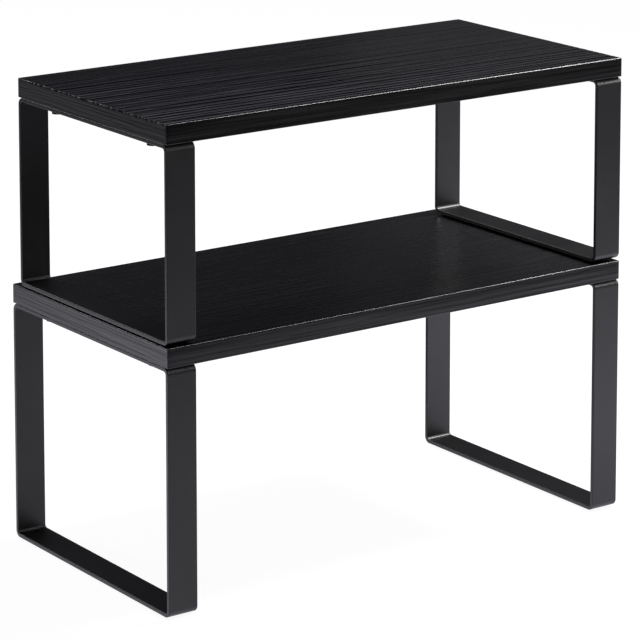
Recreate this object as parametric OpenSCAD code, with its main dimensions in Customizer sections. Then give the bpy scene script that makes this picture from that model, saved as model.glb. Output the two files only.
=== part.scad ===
// Stacking pair of shelf risers that stand on one another as a desk hutch.
// Each riser is a banded board screwed down onto two closed loops of bent flat bar.
// X runs along the boards, Y from front to back, and Z up from the floor.

/* [Boards] */
// Length of both boards
board_length = 430; // [320:5:600]
// Thickness of both boards
board_thickness = 15; // [14:1:25]
// Depth of the lower board, front to back
lower_depth = 222; // [160:1:320]
// Depth of the upper board, front to back
upper_depth = 210; // [150:1:310]

/* [Edge banding] */
// Thickness of the banding glued round each board
band_thickness = 1; // [0.8:0.1:2]
// Chamfer along the outer edges of the banding
band_chamfer = 0.5; // [0.2:0.1:0.7]

/* [Leg frames] */
// Top of the lower board above the floor
lower_height = 205; // [120:1:320]
// Top of the upper board above the lower board
upper_height = 165; // [100:1:300]
// Width of the flat bar, along the boards
bar_width = 25; // [18:1:40]
// Thickness of the flat bar
bar_thickness = 3; // [2:0.5:5]
// Radius inside each bend
inner_bend_radius = 2.5; // [1:0.5:8]
// Distance of each frame from the end of its board
frame_end_inset = 0; // [0:0.5:20]
// Distance of each frame from the front and back of its board
frame_side_inset = 0.5; // [0:0.5:10]

/* [Fasteners] */
// Thread diameter of the socket-head screws
screw_diameter = 5; // [4:1:6]
// Length of each screw under its head
screw_length = 12; // [9:1:13]
// Distance of each screw from the front and back of its board
screw_edge_distance = 38; // [25:1:60]

/* [Non-slip pads] */
// Thickness of the pads under the frames
pad_thickness = 1.5; // [0.5:0.5:3]
// Length of each pad, along the bar
pad_length = 30; // [20:1:40]
// Distance of each pad from the front and back of its board
pad_end_distance = 16; // [14:1:20]

/* [Hidden] */
$fn = 96;

// The origin is on the floor under the middle of the lower board.
// Both boards line up at the front, so the upper one leaves a strip clear at the back.
front_y = -lower_depth / 2;

// Board outline: the corner radius is the banding's own thickness
corner_radius = band_thickness;

// Screws and inserts, in proportion to the thread
head_diameter = 1.7 * screw_diameter;
head_height = screw_diameter;
head_edge = 0.08 * screw_diameter;
socket_across_flats = 0.8 * screw_diameter;
socket_depth = 0.5 * screw_diameter;
shank_diameter = screw_diameter - 0.1;
bar_hole_diameter = screw_diameter + 0.5;
insert_diameter = 1.6 * screw_diameter;
insert_length = 10;
insert_rim = 0.6;
insert_groove = 0.4;
insert_ridges = 3;
insert_hole_diameter = insert_diameter + 0.1;
insert_hole_depth = max(insert_length, screw_length - bar_thickness) + 0.5;

// The bar shows on both sides of a pad
pad_width = bar_width - 2 * 3.5;
pad_corner_radius = 4;

board_colour = [0.13, 0.13, 0.14];
band_colour = [0.20, 0.20, 0.20];
frame_colour = [0.11, 0.11, 0.11];
screw_colour = [0.16, 0.16, 0.17];
insert_colour = [0.62, 0.60, 0.55];
pad_colour = [0.05, 0.05, 0.05];

left = -1;
right = 1;

// How far a cutting shape runs past the face that it cuts
past = 1;

// ---- shared shapes ----

// Rectangle from the origin with exact round corners
module rounded_rectangle(size, radius) {
    translate([radius, 0])
        square([size.x - 2 * radius, size.y]);
    translate([0, radius])
        square([size.x, size.y - 2 * radius]);
    for (x = [radius, size.x - radius])
        for (y = [radius, size.y - radius])
            translate([x, y])
                circle(r = radius);
}

// End view of a board with its four long edges chamfered
module chamfered_section(width, height) {
    c = band_chamfer;
    polygon([
        [c, 0], [width - c, 0], [width, c], [width, height - c],
        [width - c, height], [c, height], [0, height - c], [0, c]
    ]);
}

// Outer form of a banded board, its front left lower corner at the origin
module board_form(depth) {
    intersection() {
        linear_extrude(board_thickness)
            rounded_rectangle([board_length, depth], corner_radius);
        rotate([90, 0, 90])
            linear_extrude(board_length)
                chamfered_section(depth, board_thickness);
        translate([0, depth, 0])
            rotate([90, 0, 0])
                linear_extrude(depth)
                    chamfered_section(board_length, board_thickness);
    }
}

// Places a riser's own corner: its board's front left edge, on whatever it stands on
module on_riser(level) {
    translate([-board_length / 2, front_y, level])
        children();
}

// Height of the underside of a board above the surface its riser stands on
function board_underside(height) = height - board_thickness;

// Left edge of the frame at one end of the board
function frame_x(end) =
    end == left ? frame_end_inset : board_length - frame_end_inset - bar_width;

// Both screw places of one frame, at the underside of the board
module at_screws(end, depth, height) {
    for (y = [screw_edge_distance, depth - screw_edge_distance])
        translate([frame_x(end) + bar_width / 2, y, board_underside(height)])
            children();
}

// ---- parts of one riser ----

module board_panel(depth, height) {
    difference() {
        translate([band_thickness, band_thickness, board_underside(height)])
            cube([
                board_length - 2 * band_thickness,
                depth - 2 * band_thickness,
                board_thickness
            ]);
        for (end = [left, right])
            at_screws(end, depth, height)
                translate([0, 0, -past])
                    cylinder(d = insert_hole_diameter, h = insert_hole_depth + past);
    }
}

// Band along the whole front or back, covering the ends of the side bands
module long_band(depth, height, at_back) {
    intersection() {
        translate([0, 0, board_underside(height)])
            board_form(depth);
        translate([
            -past,
            at_back ? depth - band_thickness : -past,
            board_underside(height) - past
        ])
            cube([board_length + 2 * past, band_thickness + past, board_thickness + 2 * past]);
    }
}

// Band along one end, between the long bands
module side_band(depth, height, end) {
    intersection() {
        translate([0, 0, board_underside(height)])
            board_form(depth);
        translate([
            end == left ? -past : board_length - band_thickness,
            band_thickness,
            board_underside(height) - past
        ])
            cube([
                band_thickness + past,
                depth - 2 * band_thickness,
                board_thickness + 2 * past
            ]);
    }
}

// Closed loop of flat bar, drilled through its top run for the screws
module leg_frame(depth, height, end) {
    loop_depth = depth - 2 * frame_side_inset;
    loop_height = board_underside(height) - pad_thickness;
    difference() {
        translate([frame_x(end), frame_side_inset, pad_thickness])
            rotate([90, 0, 90])
                linear_extrude(bar_width)
                    difference() {
                        rounded_rectangle(
                            [loop_depth, loop_height],
                            inner_bend_radius + bar_thickness
                        );
                        translate([bar_thickness, bar_thickness])
                            rounded_rectangle(
                                [loop_depth - 2 * bar_thickness, loop_height - 2 * bar_thickness],
                                inner_bend_radius
                            );
                    }
        at_screws(end, depth, height)
            translate([0, 0, -bar_thickness - past])
                cylinder(d = bar_hole_diameter, h = bar_thickness + 2 * past);
    }
}

// Two socket-head screws, driven upwards from under the top run of the loop
module frame_screws(depth, height, end) {
    at_screws(end, depth, height)
        translate([0, 0, -bar_thickness])
            screw();
}

// One screw: the seat of its head is at the origin and its shank points up
module screw() {
    difference() {
        rotate_extrude()
            polygon([
                [0, -head_height],
                [head_diameter / 2 - head_edge, -head_height],
                [head_diameter / 2, -head_height + head_edge],
                [head_diameter / 2, 0],
                [shank_diameter / 2, 0],
                [shank_diameter / 2, screw_length - head_edge],
                [shank_diameter / 2 - head_edge, screw_length],
                [0, screw_length]
            ]);
        translate([0, 0, -head_height - past])
            cylinder(
                d = socket_across_flats / cos(30),
                h = socket_depth + past,
                $fn = 6
            );
    }
}

// Two threaded inserts, flush with the underside of the board
module threaded_inserts(depth, height, end) {
    at_screws(end, depth, height)
        threaded_insert();
}

// One insert: a grooved sleeve with a plain bore
module threaded_insert() {
    outer = insert_diameter / 2;
    groove = outer - insert_groove;
    pitch = insert_length / (insert_ridges + 2);
    difference() {
        rotate_extrude()
            polygon([
                [0, 0],
                [outer, 0],
                [outer, insert_rim],
                [groove, insert_rim + insert_groove],
                for (i = [1:insert_ridges]) each [
                    [groove, i * pitch],
                    [outer, i * pitch + insert_groove],
                    [outer, (i + 1) * pitch - insert_groove],
                    [groove, (i + 1) * pitch]
                ],
                [groove, insert_length],
                [0, insert_length]
            ]);
        translate([0, 0, -past])
            cylinder(d = screw_diameter, h = insert_length + 2 * past);
    }
}

// Two pads under the bottom run of a loop, near its bends
module foot_pads(depth, end) {
    for (y = [pad_end_distance, depth - pad_end_distance - pad_length])
        translate([frame_x(end) + (bar_width - pad_width) / 2, y, 0])
            linear_extrude(pad_thickness)
                rounded_rectangle([pad_width, pad_length], pad_corner_radius);
}

// ---- lower riser ----

module lower_board() {
    color(board_colour) on_riser(0) board_panel(lower_depth, lower_height);
}

module lower_front_edge_band() {
    color(band_colour) on_riser(0) long_band(lower_depth, lower_height, false);
}

module lower_back_edge_band() {
    color(band_colour) on_riser(0) long_band(lower_depth, lower_height, true);
}

module lower_left_edge_band() {
    color(band_colour) on_riser(0) side_band(lower_depth, lower_height, left);
}

module lower_right_edge_band() {
    color(band_colour) on_riser(0) side_band(lower_depth, lower_height, right);
}

module lower_left_leg_frame() {
    color(frame_colour) on_riser(0) leg_frame(lower_depth, lower_height, left);
}

module lower_right_leg_frame() {
    color(frame_colour) on_riser(0) leg_frame(lower_depth, lower_height, right);
}

module lower_left_frame_screws() {
    color(screw_colour) on_riser(0) frame_screws(lower_depth, lower_height, left);
}

module lower_right_frame_screws() {
    color(screw_colour) on_riser(0) frame_screws(lower_depth, lower_height, right);
}

module lower_left_threaded_inserts() {
    color(insert_colour) on_riser(0) threaded_inserts(lower_depth, lower_height, left);
}

module lower_right_threaded_inserts() {
    color(insert_colour) on_riser(0) threaded_inserts(lower_depth, lower_height, right);
}

module lower_left_foot_pads() {
    color(pad_colour) on_riser(0) foot_pads(lower_depth, left);
}

module lower_right_foot_pads() {
    color(pad_colour) on_riser(0) foot_pads(lower_depth, right);
}

// ---- upper riser, standing on the lower board ----

module upper_board() {
    color(board_colour) on_riser(lower_height) board_panel(upper_depth, upper_height);
}

module upper_front_edge_band() {
    color(band_colour) on_riser(lower_height) long_band(upper_depth, upper_height, false);
}

module upper_back_edge_band() {
    color(band_colour) on_riser(lower_height) long_band(upper_depth, upper_height, true);
}

module upper_left_edge_band() {
    color(band_colour) on_riser(lower_height) side_band(upper_depth, upper_height, left);
}

module upper_right_edge_band() {
    color(band_colour) on_riser(lower_height) side_band(upper_depth, upper_height, right);
}

module upper_left_leg_frame() {
    color(frame_colour) on_riser(lower_height) leg_frame(upper_depth, upper_height, left);
}

module upper_right_leg_frame() {
    color(frame_colour) on_riser(lower_height) leg_frame(upper_depth, upper_height, right);
}

module upper_left_frame_screws() {
    color(screw_colour) on_riser(lower_height) frame_screws(upper_depth, upper_height, left);
}

module upper_right_frame_screws() {
    color(screw_colour) on_riser(lower_height) frame_screws(upper_depth, upper_height, right);
}

module upper_left_threaded_inserts() {
    color(insert_colour) on_riser(lower_height)
        threaded_inserts(upper_depth, upper_height, left);
}

module upper_right_threaded_inserts() {
    color(insert_colour) on_riser(lower_height)
        threaded_inserts(upper_depth, upper_height, right);
}

module upper_left_foot_pads() {
    color(pad_colour) on_riser(lower_height) foot_pads(upper_depth, left);
}

module upper_right_foot_pads() {
    color(pad_colour) on_riser(lower_height) foot_pads(upper_depth, right);
}

lower_board();
lower_front_edge_band();
lower_back_edge_band();
lower_left_edge_band();
lower_right_edge_band();
lower_left_leg_frame();
lower_right_leg_frame();
lower_left_frame_screws();
lower_right_frame_screws();
lower_left_threaded_inserts();
lower_right_threaded_inserts();
lower_left_foot_pads();
lower_right_foot_pads();
upper_board();
upper_front_edge_band();
upper_back_edge_band();
upper_left_edge_band();
upper_right_edge_band();
upper_left_leg_frame();
upper_right_leg_frame();
upper_left_frame_screws();
upper_right_frame_screws();
upper_left_threaded_inserts();
upper_right_threaded_inserts();
upper_left_foot_pads();
upper_right_foot_pads();
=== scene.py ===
import math

import bmesh
import bpy
import numpy as np
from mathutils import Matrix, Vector
from mathutils.geometry import tessellate_polygon


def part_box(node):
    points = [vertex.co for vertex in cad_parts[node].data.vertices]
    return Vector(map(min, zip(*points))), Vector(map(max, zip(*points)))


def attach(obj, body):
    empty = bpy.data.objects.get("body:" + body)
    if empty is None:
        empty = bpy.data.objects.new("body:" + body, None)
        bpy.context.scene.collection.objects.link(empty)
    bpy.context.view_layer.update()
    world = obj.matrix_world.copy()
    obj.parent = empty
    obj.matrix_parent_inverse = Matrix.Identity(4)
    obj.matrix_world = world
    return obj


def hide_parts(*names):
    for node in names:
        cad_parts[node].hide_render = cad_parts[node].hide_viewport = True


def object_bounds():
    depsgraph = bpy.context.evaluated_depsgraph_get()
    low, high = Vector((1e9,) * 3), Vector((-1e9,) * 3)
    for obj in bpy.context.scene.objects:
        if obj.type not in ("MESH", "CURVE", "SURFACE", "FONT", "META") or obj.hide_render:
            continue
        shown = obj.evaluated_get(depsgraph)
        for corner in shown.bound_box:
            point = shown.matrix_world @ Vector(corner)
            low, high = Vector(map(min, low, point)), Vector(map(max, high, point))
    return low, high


# A desk hutch made of two stacking risers. Each has a laminated board with glued edge bands on
# two closed loops of bent flat bar. Lengths are in metres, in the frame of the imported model:
# X along the boards, Y from front to back, Z up from the floor.

MM = 0.001
RISERS = ("lower", "upper")
ENDS = ("left", "right")
SHARP_ANGLE = math.radians(50.0)

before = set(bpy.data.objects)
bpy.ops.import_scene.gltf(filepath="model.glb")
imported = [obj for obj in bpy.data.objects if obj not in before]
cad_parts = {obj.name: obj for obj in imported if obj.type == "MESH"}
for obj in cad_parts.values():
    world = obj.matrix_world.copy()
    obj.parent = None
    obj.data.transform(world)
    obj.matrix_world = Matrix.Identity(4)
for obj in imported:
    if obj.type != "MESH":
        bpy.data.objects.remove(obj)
cad_low, cad_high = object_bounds()


# ---------------------------------------------------------------- mesh helpers

def make_piece(name, node, material, vertices, faces):
    """One closed mesh that stands for a CAD node, rides on its riser and takes its material slot."""
    mesh = bpy.data.meshes.new(name)
    mesh.from_pydata([tuple(v) for v in vertices], [], faces)
    cleaned = bmesh.new()
    cleaned.from_mesh(mesh)
    bmesh.ops.remove_doubles(cleaned, verts=cleaned.verts, dist=0.0002 * MM)
    bmesh.ops.dissolve_degenerate(cleaned, edges=cleaned.edges, dist=0.0001 * MM)
    bmesh.ops.recalc_face_normals(cleaned, faces=cleaned.faces)
    cleaned.to_mesh(mesh)
    cleaned.free()
    mesh.polygons.foreach_set("use_smooth", [True] * len(mesh.polygons))
    mesh.set_sharp_from_angle(angle=SHARP_ANGLE)
    piece = bpy.data.objects.new(name, mesh)
    bpy.context.scene.collection.objects.link(piece)
    mesh.materials.append(material)
    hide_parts(node)
    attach(piece, node.split("_")[0] + "_riser")
    return piece


def samples(low, high, step):
    """Evenly spaced values from low to high, about step apart."""
    return np.linspace(low, high, max(2, round((high - low) / step) + 1))


def grid_faces(rows, columns, closed_rows=False, closed_columns=False, start=0):
    """Quads of a grid of vertices numbered row by row."""
    faces = []
    for i in range(rows if closed_rows else rows - 1):
        here = start + i * columns
        there = start + (i + 1) % rows * columns
        for j in range(columns if closed_columns else columns - 1):
            k = (j + 1) % columns
            faces.append((here + j, here + k, there + k, there + j))
    return faces


def smooth_step(value):
    """0 below 0, 1 above 1, and an S-shaped blend between."""
    t = np.clip(value, 0.0, 1.0)
    return t * t * (3 - 2 * t)


# ---------------------------------------------------------------- pressed wood grain

def draw_grooves(rng, along, across, pitch, length, gap, width, depth):
    """Random grain grooves in rows a pitch apart, each row broken into lengths with gaps between.
    Each groove is (across, start, end, half width, depth, sway, wave, phase)."""
    grooves = []
    for row in range(round((across[1] - across[0]) / pitch)):
        place = across[0] + (row + rng.uniform(0.15, 0.85)) * pitch
        start = along[0] - rng.uniform(0.0, length[1])
        while start < along[1]:
            span = rng.uniform(*length)
            grooves.append((
                place + rng.uniform(-0.12, 0.12) * pitch,
                start,
                start + span,
                rng.uniform(*width),
                rng.uniform(*depth),
                rng.uniform(0.1, 0.6) * MM,
                rng.uniform(120, 400) * MM,
                rng.uniform(0.0, 2 * math.pi),
            ))
            start += span + rng.uniform(*gap)
    return grooves


LONGEST_TAPER = 30.0 * MM
REACH = 3
STEEPEST_TO_ONE = 2.33


def groove_depth(grooves, along, across, slope=False):
    """How deep the grooves are on a grid of along by across places. The across places are sorted.
    With slope, it is how far each place slopes down (above 0) or up (below 0) instead."""
    total = np.zeros((len(along), len(across)))
    for place, start, end, half, depth, sway, wave, phase in grooves:
        centre = place + sway * np.sin(2 * math.pi * along / wave + phase)
        first = np.searchsorted(across, centre.min() - REACH * half)
        last = np.searchsorted(across, centre.max() + REACH * half)
        if first == last:
            continue
        taper = min(0.25 * (end - start), LONGEST_TAPER)
        ends = smooth_step((along - start) / taper) * smooth_step((end - along) / taper)
        offset = (across[None, first:last] - centre[:, None]) / half
        profile = np.exp(-offset * offset)
        if slope:
            profile *= -STEEPEST_TO_ONE * offset
        total[:, first:last] += depth * ends[:, None] * profile
    return total


# Each row of grooves, in metres: pitch, then ranges of length, gap, half width and depth
TOP_GROOVES = (
    (0.0074, (0.150, 0.480), (0.0, 0.008), (0.00080, 0.00160), (0.00020, 0.00044)),
    (0.0046, (0.050, 0.240), (0.0, 0.060), (0.00050, 0.00080), (0.00010, 0.00026)),
    (0.0023, (0.010, 0.070), (0.0, 0.040), (0.00045, 0.00075), (0.00004, 0.00018)),
)
BAND_GROOVES = (
    (0.0022, (0.060, 0.300), (0.005, 0.080), (0.00040, 0.00080), (0.00002, 0.00005)),
    (0.0011, (0.015, 0.090), (0.005, 0.060), (0.00030, 0.00045), (0.00001, 0.00003)),
)


class BoardGrain:
    """The grain pressed into one board's top, the same for its panel and its side bands."""

    DEEPEST = 0.50 * MM
    EDGE_FADE = 2.0 * MM
    FADE_ALONG = 0.55
    FADE_ACROSS = 0.75
    FAR_SHARE = 0.25
    SHADE_WIDENING = 1.45
    SHADE_GAIN = 4.3
    SHADE_FADE_POWER = 1.6

    def __init__(self, riser, seed, strength):
        self.low, self.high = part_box(f"{riser}_board")
        self.strength = strength
        along = (self.low.x, self.high.x)
        across = (self.low.y, self.high.y)
        rng = np.random.default_rng(seed)
        wide, narrow, fine = (draw_grooves(rng, along, across, *sizes) for sizes in TOP_GROOVES)
        self.bold = wide + narrow
        self.fine = fine

    def depth(self, along, across):
        """Depth on a grid of places: deepest at the front left, shallower towards the back right."""
        raw = groove_depth(self.bold + self.fine, along, across)
        soft = self.DEEPEST * np.tanh(raw / self.DEEPEST)
        return self.strength * soft * self.fade(along, across)

    def shade(self, along, across):
        """Painted shade and highlight: from 1, painted black down a groove's front, to -1, painted grey
        up its back.
        """
        bands = [
            (place, start, end, half * self.SHADE_WIDENING, *rest)
            for place, start, end, half, *rest in self.bold
        ]
        raw = groove_depth(bands, along, across, slope=True) / self.DEEPEST
        faded = raw * self.fade(along, across) ** self.SHADE_FADE_POWER
        return np.clip(self.SHADE_GAIN * self.strength * faded, -1.0, 1.0)

    def fade(self, along, across):
        """1 at the front left and FAR_SHARE at the back right, and 0 along the front and back edges."""
        share_x = (along - self.low.x) / (self.high.x - self.low.x)
        share_y = (across - self.low.y) / (self.high.y - self.low.y)
        far = smooth_step(self.FADE_ALONG * share_x[:, None] + self.FADE_ACROSS * share_y[None, :])
        to_edge = np.minimum(across - self.low.y, self.high.y - across)
        near_edge = smooth_step(to_edge / self.EDGE_FADE)[None, :]
        return near_edge * (1 - (1 - self.FAR_SHARE) * far)


# ---------------------------------------------------------------- boards

PANEL_STEP_ALONG = 4.0 * MM
PANEL_STEP_ACROSS = 0.4 * MM
HOLE_CLEARANCE = 0.05 * MM
HOLE_EXTRA_DEPTH = 0.5 * MM
HOLE_SIDES = 48


def fastener_places(node):
    """Centre of each of a node's two fasteners in plan, their radius, and the node's low and high z."""
    low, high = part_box(node)
    radius = (high.x - low.x) / 2
    middle = (low.x + high.x) / 2
    places = [(middle, low.y + radius), (middle, high.y - radius)]
    return places, radius, low.z, high.z


def circle(centre, radius, sides):
    """Points of a circle in plan, anticlockwise."""
    turn = np.arange(sides) * 2 * math.pi / sides
    return np.column_stack([centre[0] + radius * np.cos(turn), centre[1] + radius * np.sin(turn)])


def build_panel(riser, grain, material):
    """The board itself: grain pressed into its top, and blind holes for the inserts underneath."""
    node = f"{riser}_board"
    low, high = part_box(node)
    xs = samples(low.x, high.x, PANEL_STEP_ALONG)
    ys = samples(low.y, high.y, PANEL_STEP_ACROSS)
    rows, columns = len(xs), len(ys)
    depth = grain.depth(xs, ys)
    top = np.empty((rows, columns, 3))
    top[..., 0] = xs[:, None]
    top[..., 1] = ys[None, :]
    top[..., 2] = high.z - depth
    vertices = list(top.reshape(-1, 3))
    faces = grid_faces(rows, columns)

    corners = [(low.x, low.y), (high.x, low.y), (high.x, high.y), (low.x, high.y)]
    corner = len(vertices)
    vertices += [(x, y, low.z) for x, y in corners]
    grid = np.arange(rows * columns).reshape(rows, columns)
    sides = (grid[:, 0], grid[-1, :], grid[::-1, -1], grid[0, ::-1])
    for k, edge in enumerate(sides):
        faces.append((*edge.tolist()[::-1], corner + k, corner + (k + 1) % 4))

    outlines = [[Vector((x, y, 0)) for x, y in corners]]
    numbers = list(range(corner, corner + 4))
    for end in ENDS:
        places, radius, _, insert_top = fastener_places(f"{riser}_{end}_threaded_inserts")
        roof = insert_top + HOLE_EXTRA_DEPTH
        for place in places:
            ring = circle(place, radius + HOLE_CLEARANCE, HOLE_SIDES)
            mouth = len(vertices)
            vertices += [(x, y, low.z) for x, y in ring]
            vertices += [(x, y, roof) for x, y in ring]
            faces += grid_faces(2, HOLE_SIDES, closed_columns=True, start=mouth)
            faces.append(tuple(range(mouth + HOLE_SIDES, mouth + 2 * HOLE_SIDES)))
            outlines.append([Vector((x, y, 0)) for x, y in ring])
            numbers += range(mouth, mouth + HOLE_SIDES)
    for triangle in tessellate_polygon(outlines):
        faces.append(tuple(numbers[i] for i in triangle))
    piece = make_piece(f"{riser}_laminated_board", node, material, vertices, faces)
    places = vertex_places(piece)
    # The grooves' painted shade and highlight, kept on the top's vertices.
    shade = grain.shade(xs, ys)
    row = np.rint((places[:, 0] - xs[0]) / (xs[1] - xs[0])).astype(int)
    column = np.rint((places[:, 1] - ys[0]) / (ys[1] - ys[0])).astype(int)
    on_top = places[:, 2] > high.z - 2 * grain.DEEPEST
    store_painted_shade_and_sheen(piece, np.where(on_top, shade[row, column], 0.0))


def vertex_places(piece):
    """Where each vertex of a piece is, one row each."""
    places = np.empty(len(piece.data.vertices) * 3, np.float32)
    piece.data.vertices.foreach_get("co", places)
    return places.reshape(-1, 3)


def store_painted_shade_and_sheen(piece, painted_shade_and_sheen):
    """Keeps a number at each vertex for the material to read, from -1, the shiniest, to 1, dull.
    On a board's top it is also painted shade at 1 and a painted highlight at -1.
    """
    values = piece.data.attributes.new("painted_shade_and_sheen", "FLOAT", "POINT")
    values.data.foreach_set("value", np.clip(painted_shade_and_sheen, -1.0, 1.0).astype(np.float32))


# ---------------------------------------------------------------- edge bands

BAND_EDGE_RADIUS = 0.5 * MM
BAND_EDGE_STEPS = 5
BAND_CORNER_STEPS = 8
BAND_STEP_UP = 0.3 * MM
BAND_STEP_ALONG = 4.0 * MM
BAND_GROOVE_FADE = 1.2 * MM
BAND_CORNER_POWER = 8
BAND_DULLNESS = 0.35
BAND_EDGE_SHINE = 0.85
SIDE_LOWERED_FROM = 1.5 * MM
SIDE_LOWERED_OVER = 1.0 * MM
SIDE_DULLED_OVER = 0.5 * MM
SIDE_DULL_DEPTH = 0.11 * MM


def band_profile(low_z, high_z):
    """Outer face of a band from bottom to top, as (z, how far it stands in from the board's side)."""
    turns = np.linspace(0.0, math.pi / 2, BAND_EDGE_STEPS + 1)
    round_z = BAND_EDGE_RADIUS * (1 - np.cos(turns))
    round_in = BAND_EDGE_RADIUS * (1 - np.sin(turns))
    face = samples(low_z + BAND_EDGE_RADIUS, high_z - BAND_EDGE_RADIUS, BAND_STEP_UP)[1:-1]
    z = np.concatenate([low_z + round_z, face, (high_z - round_z)[::-1]])
    inset = np.concatenate([round_in, np.zeros(len(face)), round_in[::-1]])
    return z, inset


def band_relief(seed, along, zs, low_z, high_z):
    """Fine grooves along a band's face, fading before its rounded edges."""
    rng = np.random.default_rng(seed)
    span = (along.min(), along.max())
    grooves = []
    for sizes in BAND_GROOVES:
        grooves += draw_grooves(rng, span, (low_z, high_z), *sizes)
    order = np.argsort(zs)
    depth = np.zeros((len(along), len(zs)))
    depth[:, order] = groove_depth(grooves, along, zs[order])
    to_edge = np.minimum(zs - low_z, high_z - zs) - BAND_EDGE_RADIUS
    return depth * smooth_step(to_edge / BAND_GROOVE_FADE)[None, :]


def long_band_path(low, high, outward):
    """Plan of the band round the front or back: a quarter turn, the straight, and a quarter turn.
    Returns the outer points, their outward directions, the inner points, how far each lies round
    the left (-1) or right (1) corner, and the corners' radius."""
    radius = high.y - low.y
    inner_y = high.y if outward < 0 else low.y
    turns = np.linspace(0.0, math.pi / 2, BAND_CORNER_STEPS + 1)
    straight = samples(low.x + radius, high.x - radius, BAND_STEP_ALONG)[1:-1]
    outer, normal, inner, side = [], [], [], []
    for turn in turns:
        direction = (-math.cos(turn), outward * math.sin(turn))
        outer.append((low.x + radius + radius * direction[0], inner_y + radius * direction[1]))
        normal.append(direction)
        inner.append((low.x + radius, inner_y))
        side.append(-(1 - turn / (math.pi / 2)))
    for x in straight:
        outer.append((x, inner_y + outward * radius))
        normal.append((0.0, outward))
        inner.append((x, inner_y))
        side.append(0.0)
    for turn in turns[::-1]:
        direction = (math.cos(turn), outward * math.sin(turn))
        outer.append((high.x - radius + radius * direction[0], inner_y + radius * direction[1]))
        normal.append(direction)
        inner.append((high.x - radius, inner_y))
        side.append(1 - turn / (math.pi / 2))
    return np.array(outer), np.array(normal), np.array(inner), np.array(side), radius


def build_long_band(riser, place, seed, material):
    """The band along the front or back, wrapping both corners of the board."""
    node = f"{riser}_{place}_edge_band"
    low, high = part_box(node)
    outward = -1 if place == "front" else 1
    outer, normal, inner, side, radius = long_band_path(low, high, outward)
    zs, inset = band_profile(low.z, high.z)
    relief = band_relief(seed, outer[:, 0], zs, low.z, high.z)
    relief *= smooth_step(np.abs(normal[:, 1]) ** BAND_CORNER_POWER)[:, None]
    count, levels = len(outer), len(zs)
    rings = np.empty((count, 2 * levels, 3))
    sunk = inset[None, :] + relief
    rings[:, :levels, :2] = outer[:, None, :] - sunk[..., None] * normal[:, None, :]
    rings[:, :levels, 2] = zs
    reach = side[:, None] * (radius - inset[None, ::-1])
    rings[:, levels:, 0] = inner[:, None, 0] + reach
    rings[:, levels:, 1] = inner[:, None, 1]
    rings[:, levels:, 2] = zs[::-1]
    faces = grid_faces(count, 2 * levels, closed_columns=True)
    piece = make_piece(
        f"{riser}_{place}_edging", node, material, rings.reshape(-1, 3), faces
    )
    heights = vertex_places(piece)[:, 2]
    up_the_face = BAND_DULLNESS * (2 * (heights - low.z) / (high.z - low.z) - 1)
    on_top_edge = heights > high.z - BAND_EDGE_RADIUS
    store_painted_shade_and_sheen(piece, np.where(on_top_edge, -BAND_EDGE_SHINE, up_the_face))


def build_side_band(riser, end, grain, seed, material):
    """The band along one end. The board's grooves run out over its top edge."""
    node = f"{riser}_{end}_edge_band"
    low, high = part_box(node)
    outer_x, inner_x = (low.x, high.x) if end == "left" else (high.x, low.x)
    inward = 1 if end == "left" else -1
    ys = samples(low.y, high.y, PANEL_STEP_ACROSS)
    zs, inset = band_profile(low.z, high.z)
    relief = band_relief(seed, ys, zs, low.z, high.z)
    relief *= smooth_step(np.minimum(ys - low.y, high.y - ys) / BAND_GROOVE_FADE)[:, None]
    over_top = grain.depth(np.array([inner_x]), ys)[0]
    levels = len(zs)
    lowered = smooth_step((zs - (high.z - SIDE_LOWERED_FROM)) / SIDE_LOWERED_OVER)
    rings = np.empty((len(ys), 2 * levels, 3))
    rings[:, :levels, 0] = outer_x + inward * (inset[None, :] + relief)
    rings[:, levels:, 0] = inner_x
    rings[..., 1] = ys[:, None]
    rings[:, :levels, 2] = zs[None, :] - over_top[:, None] * lowered[None, :]
    rings[:, levels:, 2] = rings[:, levels - 1::-1, 2]
    faces = grid_faces(len(ys), 2 * levels, closed_columns=True)
    last = (len(ys) - 1) * 2 * levels
    faces.append(tuple(range(2 * levels)))
    faces.append(tuple(range(last, last + 2 * levels)))
    piece = make_piece(
        f"{riser}_{end}_edging", node, material, rings.reshape(-1, 3), faces
    )
    places = vertex_places(piece)
    near_top = smooth_step((places[:, 2] - (high.z - SIDE_LOWERED_FROM)) / SIDE_DULLED_OVER)
    near_bottom = smooth_step((low.z + BAND_EDGE_RADIUS - places[:, 2]) / (0.8 * BAND_EDGE_RADIUS))
    in_grooves = np.interp(places[:, 1], ys, over_top) / SIDE_DULL_DEPTH
    store_painted_shade_and_sheen(piece, in_grooves * near_top + near_bottom)


# ---------------------------------------------------------------- leg frames

BAR_THICKNESS = 3.0 * MM
OUTER_BEND = 5.5 * MM
BAR_EDGE_RADIUS = 0.45 * MM
BAR_EDGE_STEPS = 4
BEND_STEPS = 14
SUPPORT = 0.35 * MM
SHORTEST_RUN = 10.0 * MM
SCREW_HOLE = 2.75 * MM
BAR_SHARP_ANGLE = math.radians(40.0)


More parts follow.
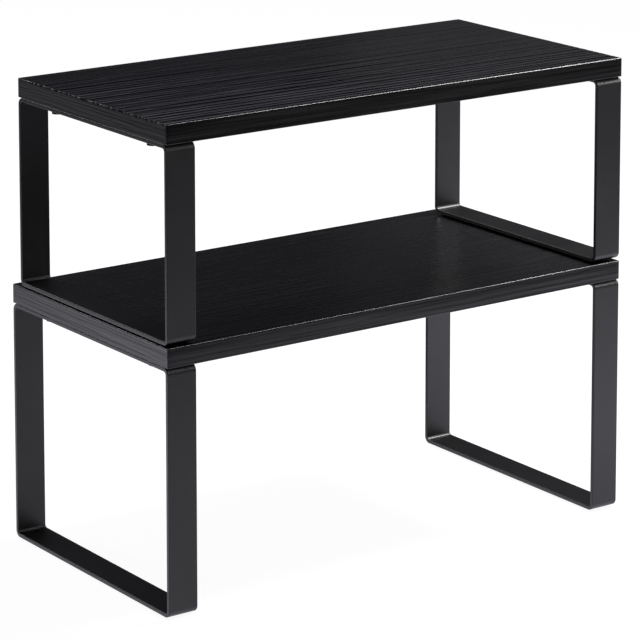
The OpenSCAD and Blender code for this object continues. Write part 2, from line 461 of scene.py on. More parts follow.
def bar_section(width, thickness):
    """Outline of the flat bar with softened edges, as (place across its width, place outwards from
    the loop's outside). Points beside each edge keep its shading from spreading over the faces."""
    outline = []
    corners = (
        (BAR_EDGE_RADIUS, -BAR_EDGE_RADIUS, 180),
        (width - BAR_EDGE_RADIUS, -BAR_EDGE_RADIUS, 90),
        (width - BAR_EDGE_RADIUS, BAR_EDGE_RADIUS - thickness, 0),
        (BAR_EDGE_RADIUS, BAR_EDGE_RADIUS - thickness, -90),
    )
    for x, y, start in corners:
        for step in range(BAR_EDGE_STEPS + 1):
            turn = math.radians(start - 90 * step / BAR_EDGE_STEPS)
            outline.append((x + BAR_EDGE_RADIUS * math.cos(turn), y + BAR_EDGE_RADIUS * math.sin(turn)))
    supported = []
    for k, point in enumerate(outline):
        following = outline[(k + 1) % len(outline)]
        supported.append(point)
        gap = math.dist(point, following)
        if gap > 4 * SUPPORT:
            for share in (SUPPORT / gap, 0.25, 0.5, 0.75, 1 - SUPPORT / gap):
                supported.append(tuple(np.add(point, share * np.subtract(following, point))))
    return np.array(supported)


def loop_path(low, high):
    """Outer surface of a loop in the YZ plane, as points and outward directions."""
    points, directions = [], []
    bends = (
        (high.y - OUTER_BEND, low.z + OUTER_BEND, -90),
        (high.y - OUTER_BEND, high.z - OUTER_BEND, 0),
        (low.y + OUTER_BEND, high.z - OUTER_BEND, 90),
        (low.y + OUTER_BEND, low.z + OUTER_BEND, 180),
    )
    for y, z, start in bends:
        for step in range(BEND_STEPS + 1):
            turn = math.radians(start + 90 * step / BEND_STEPS)
            direction = (math.cos(turn), math.sin(turn))
            points.append((y + OUTER_BEND * direction[0], z + OUTER_BEND * direction[1]))
            directions.append(direction)
    full_points, full_directions = [], []
    for k, point in enumerate(points):
        full_points.append(point)
        full_directions.append(directions[k])
        following = points[(k + 1) % len(points)]
        gap = math.dist(point, following)
        if gap > SHORTEST_RUN:
            for share in (SUPPORT / gap, *np.linspace(0.1, 0.9, 9), 1 - SUPPORT / gap):
                full_points.append(tuple(np.add(point, share * np.subtract(following, point))))
                full_directions.append(directions[k])
    return np.array(full_points), np.array(full_directions)


def build_leg_frame(riser, end, material):
    """A closed loop of bent flat bar, with the screw holes through its top run."""
    node = f"{riser}_{end}_leg_frame"
    low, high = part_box(node)
    section = bar_section(high.x - low.x, BAR_THICKNESS)
    points, directions = loop_path(low, high)
    rings = np.empty((len(points), len(section), 3))
    rings[..., 0] = low.x + section[None, :, 0]
    rings[..., 1:] = points[:, None, :] + section[None, :, 1, None] * directions[:, None, :]
    faces = grid_faces(len(points), len(section), closed_rows=True, closed_columns=True)
    piece = make_piece(
        f"{riser}_{end}_flat_bar_loop", node, material,
        rings.reshape(-1, 3), faces
    )
    places = fastener_places(f"{riser}_{end}_frame_screws")[0]
    drill(piece, places, SCREW_HOLE, high.z - 2 * BAR_THICKNESS, high.z + BAR_THICKNESS)


def drill(piece, places, radius, bottom, top):
    """Cuts round holes upwards through a piece."""
    cutter_mesh = bpy.data.meshes.new("cutter")
    vertices, faces = [], []
    for place in places:
        ring = circle(place, radius, HOLE_SIDES)
        start = len(vertices)
        vertices += [(x, y, bottom) for x, y in ring] + [(x, y, top) for x, y in ring]
        faces += grid_faces(2, HOLE_SIDES, closed_columns=True, start=start)
        faces.append(tuple(range(start + HOLE_SIDES - 1, start - 1, -1)))
        faces.append(tuple(range(start + HOLE_SIDES, start + 2 * HOLE_SIDES)))
    cutter_mesh.from_pydata(vertices, [], faces)
    cutter = bpy.data.objects.new("cutter", cutter_mesh)
    bpy.context.scene.collection.objects.link(cutter)
    cut = piece.modifiers.new("holes", "BOOLEAN")
    cut.operation = "DIFFERENCE"
    cut.solver = "EXACT"
    cut.object = cutter
    bpy.context.view_layer.update()
    evaluated = piece.evaluated_get(bpy.context.evaluated_depsgraph_get())
    drilled = bpy.data.meshes.new_from_object(evaluated)
    piece.modifiers.clear()
    piece.data = drilled
    drilled.set_sharp_from_angle(angle=BAR_SHARP_ANGLE)
    bpy.data.objects.remove(cutter)


# ---------------------------------------------------------------- screws and inserts

TURN_SIDES = 72
THREAD_PITCH = 0.8 * MM
THREAD_DEPTH = 0.36 * MM
THREAD_RINGS_PER_PITCH = 6
HEAD_HEIGHT = 5.0 * MM
HEAD_EDGE = 0.4 * MM
SHANK_RADIUS = 2.45 * MM
SHANK_START = 0.9 * MM
SHANK_FILLET = 0.2 * MM
TIP_BEVEL = 0.3 * MM
TIP_INSET = 0.5 * MM
SOCKET_FLATS = 4.0 * MM
SOCKET_DEPTH = 2.5 * MM
SOCKET_CONE = 0.8 * MM
SOCKET_BEVEL = 0.25 * MM
KNURL_COUNT = 36
KNURL_DEPTH = 0.14 * MM
KNURL_RIM = 0.05 * MM
INSERT_BORE = 2.5 * MM
INSERT_BORE_BEVEL = 0.2 * MM
INSERT_RIDGE = 0.45 * MM
INSERT_PITCH = 2.5 * MM
INSERT_RINGS = 40
INSERT_COLLAR = 0.6 * MM
INSERT_COLLAR_BEVEL = 0.15 * MM
INSERT_NOSE = 0.9 * MM
INSERT_TAPER = 1.5 * MM

turns = np.arange(TURN_SIDES) * 2 * math.pi / TURN_SIDES


def thread_wave(z, pitch):
    """0 at a thread's root and 1 at its crest, both a little flattened, round one ring at height z."""
    phase = (z / pitch - turns / (2 * math.pi)) % 1.0
    return np.clip(1.3 * (1 - np.abs(2 * phase - 1)) - 0.15, 0.0, 1.0)


def lathe(rings, centre):
    """Vertices of a turned shape, ring by ring. Each ring is (z, radii round it)."""
    count = len(rings)
    vertices = np.empty((count, TURN_SIDES, 3))
    for k, (z, radii) in enumerate(rings):
        vertices[k, :, 0] = centre[0] + radii * np.cos(turns)
        vertices[k, :, 1] = centre[1] + radii * np.sin(turns)
        vertices[k, :, 2] = z
    return vertices.reshape(-1, 3)


def even(radius):
    """The same radius all the way round a ring."""
    return np.full(TURN_SIDES, radius)


def screw_rings(seat, head_radius, tip):
    """A socket-head screw from the bottom of its socket, round its head and up its thread to its tip."""
    hexagon = SOCKET_FLATS / 2 / np.cos((turns % (math.pi / 3)) - math.pi / 6)
    knurl = head_radius - KNURL_DEPTH * (0.5 - 0.5 * np.cos(KNURL_COUNT * turns))
    face = seat - HEAD_HEIGHT
    floor = face + SOCKET_DEPTH
    rings = [
        (floor + SOCKET_CONE, even(0.0)),
        (floor, 0.85 * hexagon),
        (floor, hexagon),
        (face + SOCKET_BEVEL, hexagon),
        (face, hexagon + SOCKET_BEVEL),
        (face, even(head_radius - 2.2 * HEAD_EDGE)),
        (face, even(head_radius - HEAD_EDGE)),
        (face + 0.3 * HEAD_EDGE, even(head_radius - 0.3 * HEAD_EDGE)),
        (face + HEAD_EDGE, even(head_radius - KNURL_RIM)),
        (face + 1.6 * HEAD_EDGE, knurl),
        (seat - 1.6 * HEAD_EDGE, knurl),
        (seat - 0.6 * HEAD_EDGE, even(head_radius - KNURL_RIM)),
        (seat, even(head_radius - 0.3 * HEAD_EDGE)),
        (seat, even(SHANK_RADIUS + SHANK_FILLET)),
        (seat + SHANK_FILLET, even(SHANK_RADIUS)),
    ]
    start = seat + SHANK_START
    end = tip - TIP_BEVEL
    for z in np.arange(start, end, THREAD_PITCH / THREAD_RINGS_PER_PITCH):
        run = smooth_step((z - start) / THREAD_PITCH) * smooth_step((end - z) / THREAD_PITCH)
        cut = THREAD_DEPTH * (1 - thread_wave(z, THREAD_PITCH)) * run
        near_tip = z > (start + end) / 2
        rings.append((z, SHANK_RADIUS - cut - 0.5 * TIP_INSET * (1 - run) * near_tip))
    rings.append((tip, even(SHANK_RADIUS - TIP_INSET)))
    rings.append((tip, even(0.0)))
    return rings


def insert_rings(low_z, high_z, radius):
    """A threaded insert: coarse outer thread, then down its threaded bore."""
    collar = [
        (low_z, even(INSERT_BORE + INSERT_BORE_BEVEL)),
        (low_z, even(radius - INSERT_COLLAR_BEVEL)),
        (low_z + INSERT_COLLAR_BEVEL, even(radius)),
        (low_z + INSERT_COLLAR, even(radius)),
    ]
    outside = []
    for z in np.linspace(low_z + INSERT_COLLAR + 0.1 * MM, high_z - 0.3 * MM, INSERT_RINGS):
        ridge = thread_wave(z, INSERT_PITCH) ** 2 * smooth_step((high_z - z) / INSERT_TAPER)
        outside.append((z, radius - INSERT_RIDGE * (1 - ridge)))
    nose = [(high_z, even(radius - INSERT_NOSE)), (high_z, even(INSERT_BORE + INSERT_BORE_BEVEL))]
    inside = []
    first = high_z - 0.5 * MM
    last = low_z + 2 * INSERT_BORE_BEVEL
    for z in np.arange(first, last, -THREAD_PITCH / THREAD_RINGS_PER_PITCH):
        run = smooth_step((first - z) / THREAD_PITCH) * smooth_step((z - last) / THREAD_PITCH)
        inside.append((z, INSERT_BORE - THREAD_DEPTH * (1 - thread_wave(z, THREAD_PITCH)) * run))
    return collar + outside + nose + inside + [(low_z + INSERT_BORE_BEVEL, even(INSERT_BORE))]


def build_screws(riser, end, material):
    """The two socket-head screws of one frame."""
    node = f"{riser}_{end}_frame_screws"
    places, head_radius, bottom, tip = fastener_places(node)
    rings = screw_rings(bottom + HEAD_HEIGHT, head_radius, tip)
    vertices, faces = [], []
    for place in places:
        faces += grid_faces(len(rings), TURN_SIDES, closed_columns=True, start=len(vertices))
        vertices += list(lathe(rings, place))
    name = f"{riser}_{end}_socket_screws"
    make_piece(name, node, material, vertices, faces)


def build_inserts(riser, end, material):
    """The two threaded inserts that one frame's screws go into."""
    node = f"{riser}_{end}_threaded_inserts"
    places, radius, bottom, top = fastener_places(node)
    rings = insert_rings(bottom, top, radius)
    vertices, faces = [], []
    for place in places:
        start = len(vertices)
        faces += grid_faces(len(rings), TURN_SIDES, closed_rows=True, closed_columns=True, start=start)
        vertices += list(lathe(rings, place))
    name = f"{riser}_{end}_insert_nuts"
    make_piece(name, node, material, vertices, faces)


# ---------------------------------------------------------------- pads

PAD_LENGTH = 30.0 * MM
PAD_CORNER = 4.0 * MM
PAD_CORNER_POINTS = 13
PAD_EDGE = 0.35 * MM
PAD_EDGE_POINTS = 5


def pad_outline(low_x, high_x, low_y, high_y):
    """Rounded rectangle in plan, as points and outward directions."""
    points, directions = [], []
    centres = (
        (high_x - PAD_CORNER, high_y - PAD_CORNER, 0),
        (low_x + PAD_CORNER, high_y - PAD_CORNER, 90),
        (low_x + PAD_CORNER, low_y + PAD_CORNER, 180),
        (high_x - PAD_CORNER, low_y + PAD_CORNER, 270),
    )
    for x, y, start in centres:
        for turn in np.radians(np.linspace(start, start + 90, PAD_CORNER_POINTS)):
            directions.append((math.cos(turn), math.sin(turn)))
            points.append((x + PAD_CORNER * math.cos(turn), y + PAD_CORNER * math.sin(turn)))
    return np.array(points), np.array(directions)


def build_pads(riser, end, material):
    """The two non-slip pads under one frame, with soft edges."""
    node = f"{riser}_{end}_foot_pads"
    low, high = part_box(node)
    turns_up = np.linspace(0.0, math.pi / 2, PAD_EDGE_POINTS)
    edge = [(PAD_EDGE * (1 - math.cos(turn)), PAD_EDGE * (1 - math.sin(turn))) for turn in turns_up]
    levels = [(low.z, 3 * PAD_EDGE)]
    levels += [(low.z + rise, inset) for rise, inset in edge]
    levels += [(high.z - rise, inset) for rise, inset in edge[::-1]]
    levels.append((high.z, 3 * PAD_EDGE))
    vertices, faces = [], []
    for low_y in (low.y, high.y - PAD_LENGTH):
        points, directions = pad_outline(low.x, high.x, low_y, low_y + PAD_LENGTH)
        start = len(vertices)
        for z, inset in levels:
            ring = points - inset * directions
            vertices += [(x, y, z) for x, y in ring]
        count = len(points)
        faces += grid_faces(len(levels), count, closed_columns=True, start=start)
        faces.append(tuple(range(start, start + count)))
        last = start + (len(levels) - 1) * count
        faces.append(tuple(range(last, last + count)))
    name = f"{riser}_{end}_rubber_pads"
    make_piece(name, node, material, vertices, faces)


# ---------------------------------------------------------------- materials

RANGE_INPUTS = ("From Min", "From Max", "To Min", "To Max")


class Surface:
    """A node material on one Principled shader, with short calls for the nodes that drive it."""

    def __init__(self, name):
        self.material = bpy.data.materials.new(name)
        self.material.use_nodes = True
        self.tree = self.material.node_tree
        self.shader = self.tree.nodes["Principled BSDF"]
        self.place = self.node("ShaderNodeTexCoord").outputs["Object"]

    def node(self, kind, **settings):
        """A new node of a kind, with its settings."""
        made = self.tree.nodes.new(kind)
        for key, value in settings.items():
            setattr(made, key, value)
        return made

    def link(self, source, target):
        """Joins a node's output to an input."""
        self.tree.links.new(source, target)

    def feed(self, target, value):
        """Links a node's output to an input, or sets the input to a plain value."""
        if isinstance(value, bpy.types.NodeSocket):
            self.link(value, target)
        else:
            target.default_value = value

    def set(self, name, value):
        """Sets or feeds one of the shader's inputs."""
        self.feed(self.shader.inputs[name], value)

    def noise(self, scale, detail=3.0, roughness=0.5):
        """Noise with its own frequency, in cycles a metre, along each axis."""
        stretch = self.node("ShaderNodeMapping")
        self.link(self.place, stretch.inputs["Vector"])
        stretch.inputs["Scale"].default_value = scale
        made = self.node("ShaderNodeTexNoise")
        self.link(stretch.outputs["Vector"], made.inputs["Vector"])
        made.inputs["Scale"].default_value = 1.0
        made.inputs["Detail"].default_value = detail
        made.inputs["Roughness"].default_value = roughness
        return made.outputs["Fac"]

    def math(self, operation, a, b=0.0, clamp=False):
        """The result of an operation on one or two values, held within 0..1 with clamp."""
        made = self.node("ShaderNodeMath", operation=operation, use_clamp=clamp)
        self.feed(made.inputs[0], a)
        self.feed(made.inputs[1], b)
        return made.outputs[0]

    def spread(self, value, low, high, to_low, to_high):
        """Maps low..high onto to_low..to_high, held at both ends."""
        made = self.node("ShaderNodeMapRange")
        self.feed(made.inputs["Value"], value)
        for key, number in zip(RANGE_INPUTS, (low, high, to_low, to_high)):
            self.feed(made.inputs[key], number)
        return made.outputs["Result"]

    def blend(self, share, a, b):
        """Mixes two colours, by the Mix node's colour sockets."""
        made = self.node("ShaderNodeMix", data_type="RGBA")
        self.feed(made.inputs[0], share)
        self.feed(made.inputs[6], a)
        self.feed(made.inputs[7], b)
        return made.outputs[2]

    def painted_top_shade(self):
        """Where the powder coat's painted shade goes: 1 on faces that point straight up, and 0 on all
        others and on the rounded edges.
        """
        split = self.node("ShaderNodeSeparateXYZ")
        self.link(self.node("ShaderNodeTexCoord").outputs["Normal"], split.inputs[0])
        return self.spread(split.outputs["Z"], 0.90, 0.99, 0.0, 1.0)

    def rubbed(self, low, high, most):
        """0 on faces, rising to most on sharp outer edges."""
        pointed = self.node("ShaderNodeNewGeometry").outputs["Pointiness"]
        return self.spread(pointed, low, high, 0.0, most)

    def painted_shade_and_sheen(self):
        """The number that store_painted_shade_and_sheen keeps: painted shade and highlight on a board's
        top, sheen on a band.
        """
        return self.node("ShaderNodeAttribute", attribute_name="painted_shade_and_sheen").outputs["Fac"]

    def bump(self, height, distance, strength=1.0):
        """Adds a bump whose height of 0 to 1 stands for distance."""
        made = self.node("ShaderNodeBump")
        made.inputs["Distance"].default_value = distance
        made.inputs["Strength"].default_value = strength
        self.link(height, made.inputs["Height"])
        normal = self.shader.inputs["Normal"]
        if normal.is_linked:
            self.link(normal.links[0].from_socket, made.inputs["Normal"])
        self.link(made.outputs["Normal"], normal)


def grey(value, blue=1.0):
    """A near-black with a slight blue cast where blue is above 1."""
    return (value, value, value * blue, 1.0)


def ink(value):
    """A near-black with the faint violet cast of the boards' printed paper."""
    return (value, 0.95 * value, 1.35 * value, 1.0)


def laminate():
    """Black wood-grain laminate: streaks, fine pores and a satin sheen, with painted shade down each
    groove's front and a painted highlight up its back."""
    s = Surface("black_wood_grain_laminate")
    streak = s.noise((7, 420, 420), detail=4.0, roughness=0.62)
    fibre = s.noise((45, 2600, 2600), detail=2.0, roughness=0.6)
    cloud = s.noise((9, 24, 24), detail=2.0)
    pores = s.spread(s.noise((70, 1700, 1700), detail=1.0), 0.60, 0.72, 0.0, 1.0)
    # The first is the grooves' painted shade, the second their painted highlight.
    sunk = s.spread(s.painted_shade_and_sheen(), 0.0, 0.6, 0.0, 1.0)
    painted_groove_highlight = s.spread(s.painted_shade_and_sheen(), -0.35, -0.95, 0.0, 1.0)
    tone = s.blend(s.spread(streak, 0.32, 0.68, 0.0, 1.0), ink(0.0008), ink(0.0020))
    tone = s.blend(s.spread(cloud, 0.3, 0.7, 0.0, 0.35), tone, ink(0.0022))
    tone = s.blend(s.math("MULTIPLY", pores, 0.5), tone, ink(0.0009))
    # Painted shade: each groove's front painted nearly black.
    tone = s.blend(s.math("MULTIPLY", sunk, 0.9), tone, ink(0.0003))
    # Painted highlight: each groove's back painted grey.
    tone = s.blend(s.math("MULTIPLY", painted_groove_highlight, 0.8), tone, ink(0.0058))
    s.set("Base Color", tone)
    rough = s.spread(streak, 0.3, 0.7, 0.22, 0.30)
    rough = s.math("ADD", rough, s.math("MULTIPLY", pores, 0.10), clamp=True)
    s.set("Roughness", rough)
    s.set("Specular IOR Level", s.spread(sunk, 0.0, 1.0, 0.43, 0.0))
    s.bump(streak, 0.014 * MM)
    s.bump(fibre, 0.002 * MM)
    s.bump(s.math("SUBTRACT", 1.0, pores), 0.005 * MM)
    return s.material


def edging(name, along):
    """Edge banding: fine printed lines along its length, which is axis 0 or 1, duller and shinier by
    turns."""
    s = Surface(name)
    line_scale = [380, 380, 380]
    fibre_scale = [2600, 2600, 2600]
    line_scale[along] = 6
    fibre_scale[along] = 40
    lines = s.noise(line_scale, detail=4.0, roughness=0.65)
    fibre = s.noise(fibre_scale, detail=2.0)
    cloud = s.noise((12, 12, 60), detail=2.0)
    tone = s.blend(s.spread(lines, 0.34, 0.66, 0.0, 1.0), grey(0.0004), grey(0.0044))
    tone = s.blend(s.spread(cloud, 0.35, 0.7, 0.0, 0.4), tone, (0.0030, 0.0027, 0.0026, 1.0))
    s.set("Base Color", tone)
    rough = s.spread(lines, 0.3, 0.7, 0.27, 0.37)
    s.set("Roughness", s.math("ADD", rough, s.spread(s.painted_shade_and_sheen(), 0.4, 1.0, 0.0, 0.35), clamp=True))
    sheen = s.math("MULTIPLY", s.spread(s.painted_shade_and_sheen(), -1.0, 1.0, 0.80, 0.02),
                   s.spread(lines, 0.36, 0.64, 0.55, 1.35))
    s.set("Specular IOR Level", sheen)
    s.bump(lines, 0.008 * MM)
    s.bump(fibre, 0.0015 * MM)
    return s.material


def powder_coat():
    """Satin black powder coat: slight orange peel, a fine texture, edges rubbed a little lighter, which
    also paints a faint highlight along them, and painted shade where it faces up, darker and less
    glossy."""
    s = Surface("satin_black_powder_coat")
    peel = s.noise((420, 420, 420), detail=2.0, roughness=0.45)
    grit = s.noise((2600, 2600, 2600), detail=2.0, roughness=0.6)
    cloud = s.noise((22, 22, 22), detail=3.0)
    patches = s.spread(s.noise((160, 160, 160), detail=3.0), 0.4, 0.6, 0.25, 1.0)
    wear_and_edge_highlight = s.math("MULTIPLY", s.rubbed(0.53, 0.60, 1.0), patches)
    painted_top_shade = s.painted_top_shade()
    tone = s.blend(s.spread(cloud, 0.35, 0.65, 0.0, 1.0), grey(0.0035), grey(0.0055))
    tone = s.blend(s.spread(grit, 0.45, 0.75, 0.0, 0.5), tone, grey(0.010))
    # Edges painted lighter: rubbing, and a painted highlight along the bar's edges.
    tone = s.blend(s.math("MULTIPLY", wear_and_edge_highlight, 0.5), tone, grey(0.028))
    # Painted shade: faces that point up are painted nearly black, and below their sheen is lowered too.
    tone = s.blend(s.math("MULTIPLY", painted_top_shade, 0.8), tone, grey(0.0008))
    s.set("Base Color", tone)
    rough = s.math("ADD", s.spread(grit, 0.3, 0.7, 0.36, 0.48), s.spread(cloud, 0.3, 0.7, -0.03, 0.03))
    s.set("Roughness", s.math("SUBTRACT", rough, s.math("MULTIPLY", wear_and_edge_highlight, 0.16)))
    s.set("Specular IOR Level", s.spread(painted_top_shade, 0.0, 1.0, 0.55, 0.15))
    s.bump(peel, 0.020 * MM)
    s.bump(grit, 0.003 * MM)
    return s.material


def screw_steel():
    """Black-finished screw steel, with turning marks and lighter knurl tips."""
    s = Surface("black_screw_steel")
    marks = s.noise((900, 900, 5200), detail=2.0)
    patch = s.noise((260, 260, 260), detail=3.0)
    tone = s.blend(s.spread(patch, 0.35, 0.65, 0.0, 1.0), grey(0.040, 1.08), grey(0.075, 1.1))
    s.set("Base Color", s.blend(s.rubbed(0.52, 0.60, 0.8), tone, grey(0.20)))
    s.set("Metallic", 0.9)
    s.set("Roughness", s.spread(marks, 0.3, 0.7, 0.30, 0.46))
    s.bump(marks, 0.01 * MM, 0.6)
    return s.material


def insert_metal():
    """Pale machined brass with turning rings."""
    s = Surface("machined_insert_brass")
    rings = s.noise((120, 120, 6500), detail=2.0)
    stain = s.noise((300, 300, 300), detail=3.0)
    clean = (0.62, 0.47, 0.22, 1.0)
    stained = (0.45, 0.32, 0.15, 1.0)
    s.set("Base Color", s.blend(s.spread(stain, 0.35, 0.7, 0.0, 1.0), clean, stained))
    s.set("Metallic", 1.0)
    s.set("Roughness", s.spread(rings, 0.3, 0.7, 0.24, 0.42))
    s.bump(rings, 0.01 * MM, 0.6)
    return s.material


def rubber():
    """Matte black non-slip rubber with a fine moulded grain."""
    s = Surface("non_slip_rubber")
    grain = s.noise((1500, 1500, 1500), detail=2.0, roughness=0.6)
    dust = s.noise((90, 90, 90), detail=3.0)
    s.set("Base Color", s.blend(s.spread(dust, 0.45, 0.75, 0.0, 0.6), grey(0.010), grey(0.030)))
    s.set("Roughness", s.spread(grain, 0.3, 0.7, 0.78, 0.92))
    s.set("Specular IOR Level", 0.35)
    s.bump(grain, 0.03 * MM, 0.7)
    return s.material


# ---------------------------------------------------------------- studio

FLOOR_SEEN = 0.94
FLOOR_SHADOW_SHARE = 0.11
FLOOR_GLOWS = (
    # Middle in plan from the object's middle, spread along X and Y, brightness in reflections
    ((0.74, -0.18), (0.62, 0.37), 1.60),
    ((1.20, -1.05), (0.32, 0.30), 0.26),
    ((0.40, -1.10), (0.25, 0.20), -0.10),
    ((0.50, -0.22), (0.22, 0.22), 0.40),
    ((-1.05, -0.75), (0.35, 0.30), 0.70),
    ((-0.82, -0.55), (0.13, 0.13), 2.40),
    ((0.00, -0.36), (0.25, 0.25), 0.22),
    ((-0.50, 0.27), (0.17, 0.40), 2.09),
    ((-0.95, 1.35), (0.22, 0.35), 0.90),
    ((0.22, -0.20), (0.12, 0.12), -0.40),
    ((0.00, 0.50), (0.25, 0.20), -0.25),
    ((0.00, 0.00), (0.90, 0.90), 0.10),
)
FLOOR_GLOW_TINT = (1.0, 1.0, 1.12, 1.0)


def floor_material(middle):
    """Pale studio floor: nearly white to the camera with faint shadows. In reflections it is dark,
    apart from the pools of light in FLOOR_GLOWS."""
    s = Surface("pale_floor")
    speck = s.noise((60, 60, 60), detail=3.0)
    tone = s.blend(s.spread(speck, 0.3, 0.7, 0.0, 1.0), grey(0.90), grey(0.93))
    paper = s.node("ShaderNodeBsdfDiffuse")
    s.link(tone, paper.inputs["Color"])
    split = s.node("ShaderNodeSeparateXYZ")
    s.link(s.place, split.inputs[0])
    glow = 0.0
    for (x, y), (width_x, width_y), bright in FLOOR_GLOWS:
        away_x = s.math("DIVIDE", s.math("SUBTRACT", split.outputs["X"], middle.x + x), width_x)
        away_y = s.math("DIVIDE", s.math("SUBTRACT", split.outputs["Y"], middle.y + y), width_y)
        square_x = s.math("MULTIPLY", away_x, away_x)
        square_y = s.math("MULTIPLY", away_y, away_y)
        fall = s.math("EXPONENT", s.math("MULTIPLY", s.math("ADD", square_x, square_y), -0.5))
        glow = s.math("ADD", s.math("MULTIPLY", fall, bright), glow)
    mirrored = s.node("ShaderNodeEmission")
    mirrored.inputs["Color"].default_value = FLOOR_GLOW_TINT
    s.feed(mirrored.inputs["Strength"], s.math("MAXIMUM", glow, 0.0))
    seen = s.node("ShaderNodeEmission")
    seen.inputs["Strength"].default_value = FLOOR_SEEN
    shaded = s.node("ShaderNodeMixShader")
    shaded.inputs[0].default_value = FLOOR_SHADOW_SHARE
    s.link(paper.outputs[0], shaded.inputs[2])
    total = s.node("ShaderNodeAddShader")
    s.link(seen.outputs[0], total.inputs[0])
    s.link(shaded.outputs[0], total.inputs[1])
    path = s.node("ShaderNodeLightPath")
    by_glossy = s.node("ShaderNodeMixShader")
    s.link(path.outputs["Is Glossy Ray"], by_glossy.inputs[0])
    s.link(paper.outputs[0], by_glossy.inputs[1])
    s.link(mirrored.outputs[0], by_glossy.inputs[2])
    by_camera = s.node("ShaderNodeMixShader")
    s.link(path.outputs["Is Camera Ray"], by_camera.inputs[0])
    s.link(by_glossy.outputs[0], by_camera.inputs[1])
    s.link(total.outputs[0], by_camera.inputs[2])
    s.link(by_camera.outputs[0], s.tree.nodes["Material Output"].inputs["Surface"])
    s.tree.nodes.remove(s.shader)
    return s.material


def build_floor(middle, size):
    """A square floor that reaches size from the middle each way."""
    mesh = bpy.data.meshes.new("floor")
    corners = [(-1, -1), (1, -1), (1, 1), (-1, 1)]
    vertices = [(middle.x + size * x, middle.y + size * y, cad_low.z) for x, y in corners]
    mesh.from_pydata(vertices, [], [(0, 1, 2, 3)])
    floor = bpy.data.objects.new("floor", mesh)
    mesh.materials.append(floor_material(middle))
    bpy.context.scene.collection.objects.link(floor)


def add_softbox(name, aim, towards, distance, side, power, lights_paint):
    """A square soft light in the given direction from the aim point, facing it. Without
    lights_paint it only shows in reflections."""
    data = bpy.data.lights.new(name, "AREA")
    data.shape = "SQUARE"
    data.size = side
    data.energy = power
    lamp = bpy.data.objects.new(name, data)
    back = Vector(towards).normalized()
    lamp.location = aim + back * distance
    lamp.rotation_mode = "QUATERNION"
    lamp.rotation_quaternion = back.to_track_quat("Z", "Y")
    lamp.visible_diffuse = lights_paint
    bpy.context.scene.collection.objects.link(lamp)


SKY_STOPS = (
    # Sine of the height above the horizon, brightness in reflections, blue cast
    (0.10, 0.0, 1.0),
    (0.24, 0.021, 1.30),
    (0.40, 0.025, 1.30),
    (0.62, 0.70, 1.12),
)
# From a direction's Y of the first number to the second, the brightness in reflections goes from
# the third number to the fourth.
SKY_FRONT_TO_BACK = (-0.5, 0.2, 0.40, 1.0)
AMBIENT = 0.35


def build_world():
    """White to the camera, even and soft for lighting, and dark near the horizon in reflections."""
    world = bpy.data.worlds.new("studio")
    bpy.context.scene.world = world
    world.use_nodes = True
    tree = world.node_tree
    tree.nodes.clear()
    add = tree.nodes.new
    link = tree.links.new
    output = add("ShaderNodeOutputWorld")
    path = add("ShaderNodeLightPath")
    direction = add("ShaderNodeTexCoord")
    split = add("ShaderNodeSeparateXYZ")
    link(direction.outputs["Generated"], split.inputs[0])
    ramp = add("ShaderNodeValToRGB")
    link(split.outputs["Z"], ramp.inputs[0])
    stops = ramp.color_ramp.elements
    for extra in SKY_STOPS[2:]:
        stops.new(extra[0])
    for stop, (height, bright, blue) in zip(stops, SKY_STOPS):
        stop.position, stop.color = height, grey(bright, blue)
    seen = add("ShaderNodeBackground")
    seen.inputs["Color"].default_value = (1.0, 1.0, 1.0, 1.0)
    ambient = add("ShaderNodeBackground")
    ambient.inputs["Color"].default_value = grey(AMBIENT, 1.02)
    mirrored = add("ShaderNodeBackground")
    link(ramp.outputs["Color"], mirrored.inputs["Color"])
    behind = add("ShaderNodeMapRange")
    link(split.outputs["Y"], behind.inputs["Value"])
    for key, number in zip(RANGE_INPUTS, SKY_FRONT_TO_BACK):
        behind.inputs[key].default_value = number
    link(behind.outputs["Result"], mirrored.inputs["Strength"])
    by_glossy = add("ShaderNodeMixShader")
    link(path.outputs["Is Glossy Ray"], by_glossy.inputs[0])
    link(ambient.outputs[0], by_glossy.inputs[1])
    link(mirrored.outputs[0], by_glossy.inputs[2])
    by_camera = add("ShaderNodeMixShader")
    link(path.outputs["Is Camera Ray"], by_camera.inputs[0])
    link(by_glossy.outputs[0], by_camera.inputs[1])
    link(seen.outputs[0], by_camera.inputs[2])
    link(by_camera.outputs[0], output.inputs["Surface"])


# The camera stands in front and to the left of the hutch, a little above it, with a long lens.
# Its lens is shifted, so that the uprights stay nearly parallel. The shift is 0 when the camera is
# more than MOVED_AWAY from this place, so that the lens is centred when it is moved round.
CAMERA_FROM_LEFT = 1.197
CAMERA_FROM_FRONT = 1.858
CAMERA_HEIGHT = 0.851
CAMERA_TURN = math.radians(35.64)
CAMERA_DIP = math.radians(7.84)
CAMERA_LENS = 177.4
CAMERA_SHIFT = -0.688
MOVED_AWAY = 20.0 * MM


def build_camera():
    """The photo's camera."""
    data = bpy.data.cameras.new("camera")
    camera = bpy.data.objects.new("camera", data)
    bpy.context.scene.collection.objects.link(camera)
    data.sensor_width = 36.0
    data.lens = CAMERA_LENS
    camera.location = (
        cad_low.x - CAMERA_FROM_LEFT,
        cad_low.y - CAMERA_FROM_FRONT,
        cad_low.z + CAMERA_HEIGHT,
    )
    camera.rotation_euler = (math.pi / 2 - CAMERA_DIP, 0.0, -CAMERA_TURN)
    shift_lens(camera)
    bpy.context.scene.camera = camera


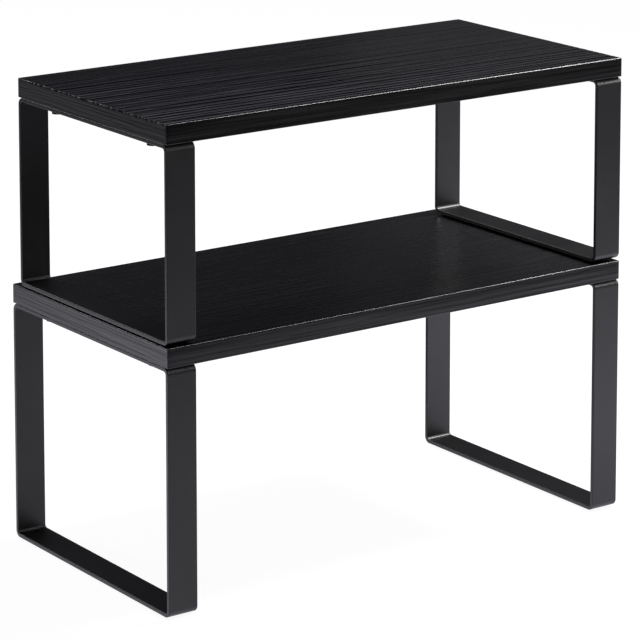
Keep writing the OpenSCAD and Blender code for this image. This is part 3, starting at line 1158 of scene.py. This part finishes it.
def shift_lens(camera):
    """Shifts the lens while the camera is where it is now. The driver is a curve over the camera's
    distance from a stand that stays there, with no expression."""
    stand = bpy.data.objects.new("camera_stand", None)
    stand.location = camera.location
    bpy.context.scene.collection.objects.link(stand)
    curve = camera.data.driver_add("shift_y")
    for default in list(curve.modifiers):
        curve.modifiers.remove(default)
    curve.driver.type = "AVERAGE"
    away = curve.driver.variables.new()
    away.type = "LOC_DIFF"
    away.targets[0].id = camera
    away.targets[1].id = stand
    steps = ((0.0, CAMERA_SHIFT), (MOVED_AWAY, 0.0))
    curve.keyframe_points.add(len(steps))
    for point, step in zip(curve.keyframe_points, steps):
        point.co = step
        point.interpolation = "CONSTANT"
    curve.update()


FLOOR_REACH = 30.0
MIDDLE = (cad_low + cad_high) / 2
RIGHT_BENDS = Vector((cad_high.x, cad_low.y, 0.75 * cad_high.z))
BESIDE_RIGHT = MIDDLE + Vector((0.35, -0.25, 0.30))
SOFTBOXES = (
    # Name, aim, direction from the aim, distance, side, power in watts, whether it lights the paint.
    # The key lights the tops, the strip the bends on the right, the rim the edges at the back, and
    # the dim panel is the sheen on the right of the boards' tops.
    ("key", MIDDLE, (0.60, -0.06, 0.79), 1.35, 0.50, 35.0, True),
    ("strip", RIGHT_BENDS, (0.561, -0.712, 0.421), 1.00, 0.20, 3.6, False),
    ("rim", MIDDLE, (-0.28, 0.78, 0.56), 2.20, 0.60, 13.0, True),
    ("panel", BESIDE_RIGHT, (0.561, 0.781, 0.276), 1.50, 0.80, 0.08, False),
)


def build_studio():
    """The surroundings, the floor, the lights and the camera."""
    build_world()
    build_floor(MIDDLE, FLOOR_REACH)
    for softbox in SOFTBOXES:
        add_softbox(*softbox)
    build_camera()
    bpy.context.scene.view_settings.view_transform = "Standard"
    bpy.context.scene.view_settings.look = "None"


# ---------------------------------------------------------------- assembly

board_material = laminate()
long_edging = edging("edging_along_the_board", 0)
side_edging = edging("edging_across_the_board", 1)
steel = powder_coat()
screw_material = screw_steel()
insert_material = insert_metal()
rubber_material = rubber()

# How deeply each board's grain is pressed, which also sets how strong its grooves' painted shade is.
GRAIN_STRENGTH = {"lower": 0.12, "upper": 1.0}

for number, riser in enumerate(RISERS):
    seed = 100 * (number + 1)
    grain = BoardGrain(riser, seed, GRAIN_STRENGTH[riser])
    build_panel(riser, grain, board_material)
    build_long_band(riser, "front", seed + 1, long_edging)
    build_long_band(riser, "back", seed + 2, long_edging)
    for k, end in enumerate(ENDS):
        build_side_band(riser, end, grain, seed + 3 + k, side_edging)
        build_leg_frame(riser, end, steel)
        build_screws(riser, end, screw_material)
        build_inserts(riser, end, insert_material)
        build_pads(riser, end, rubber_material)

build_studio()
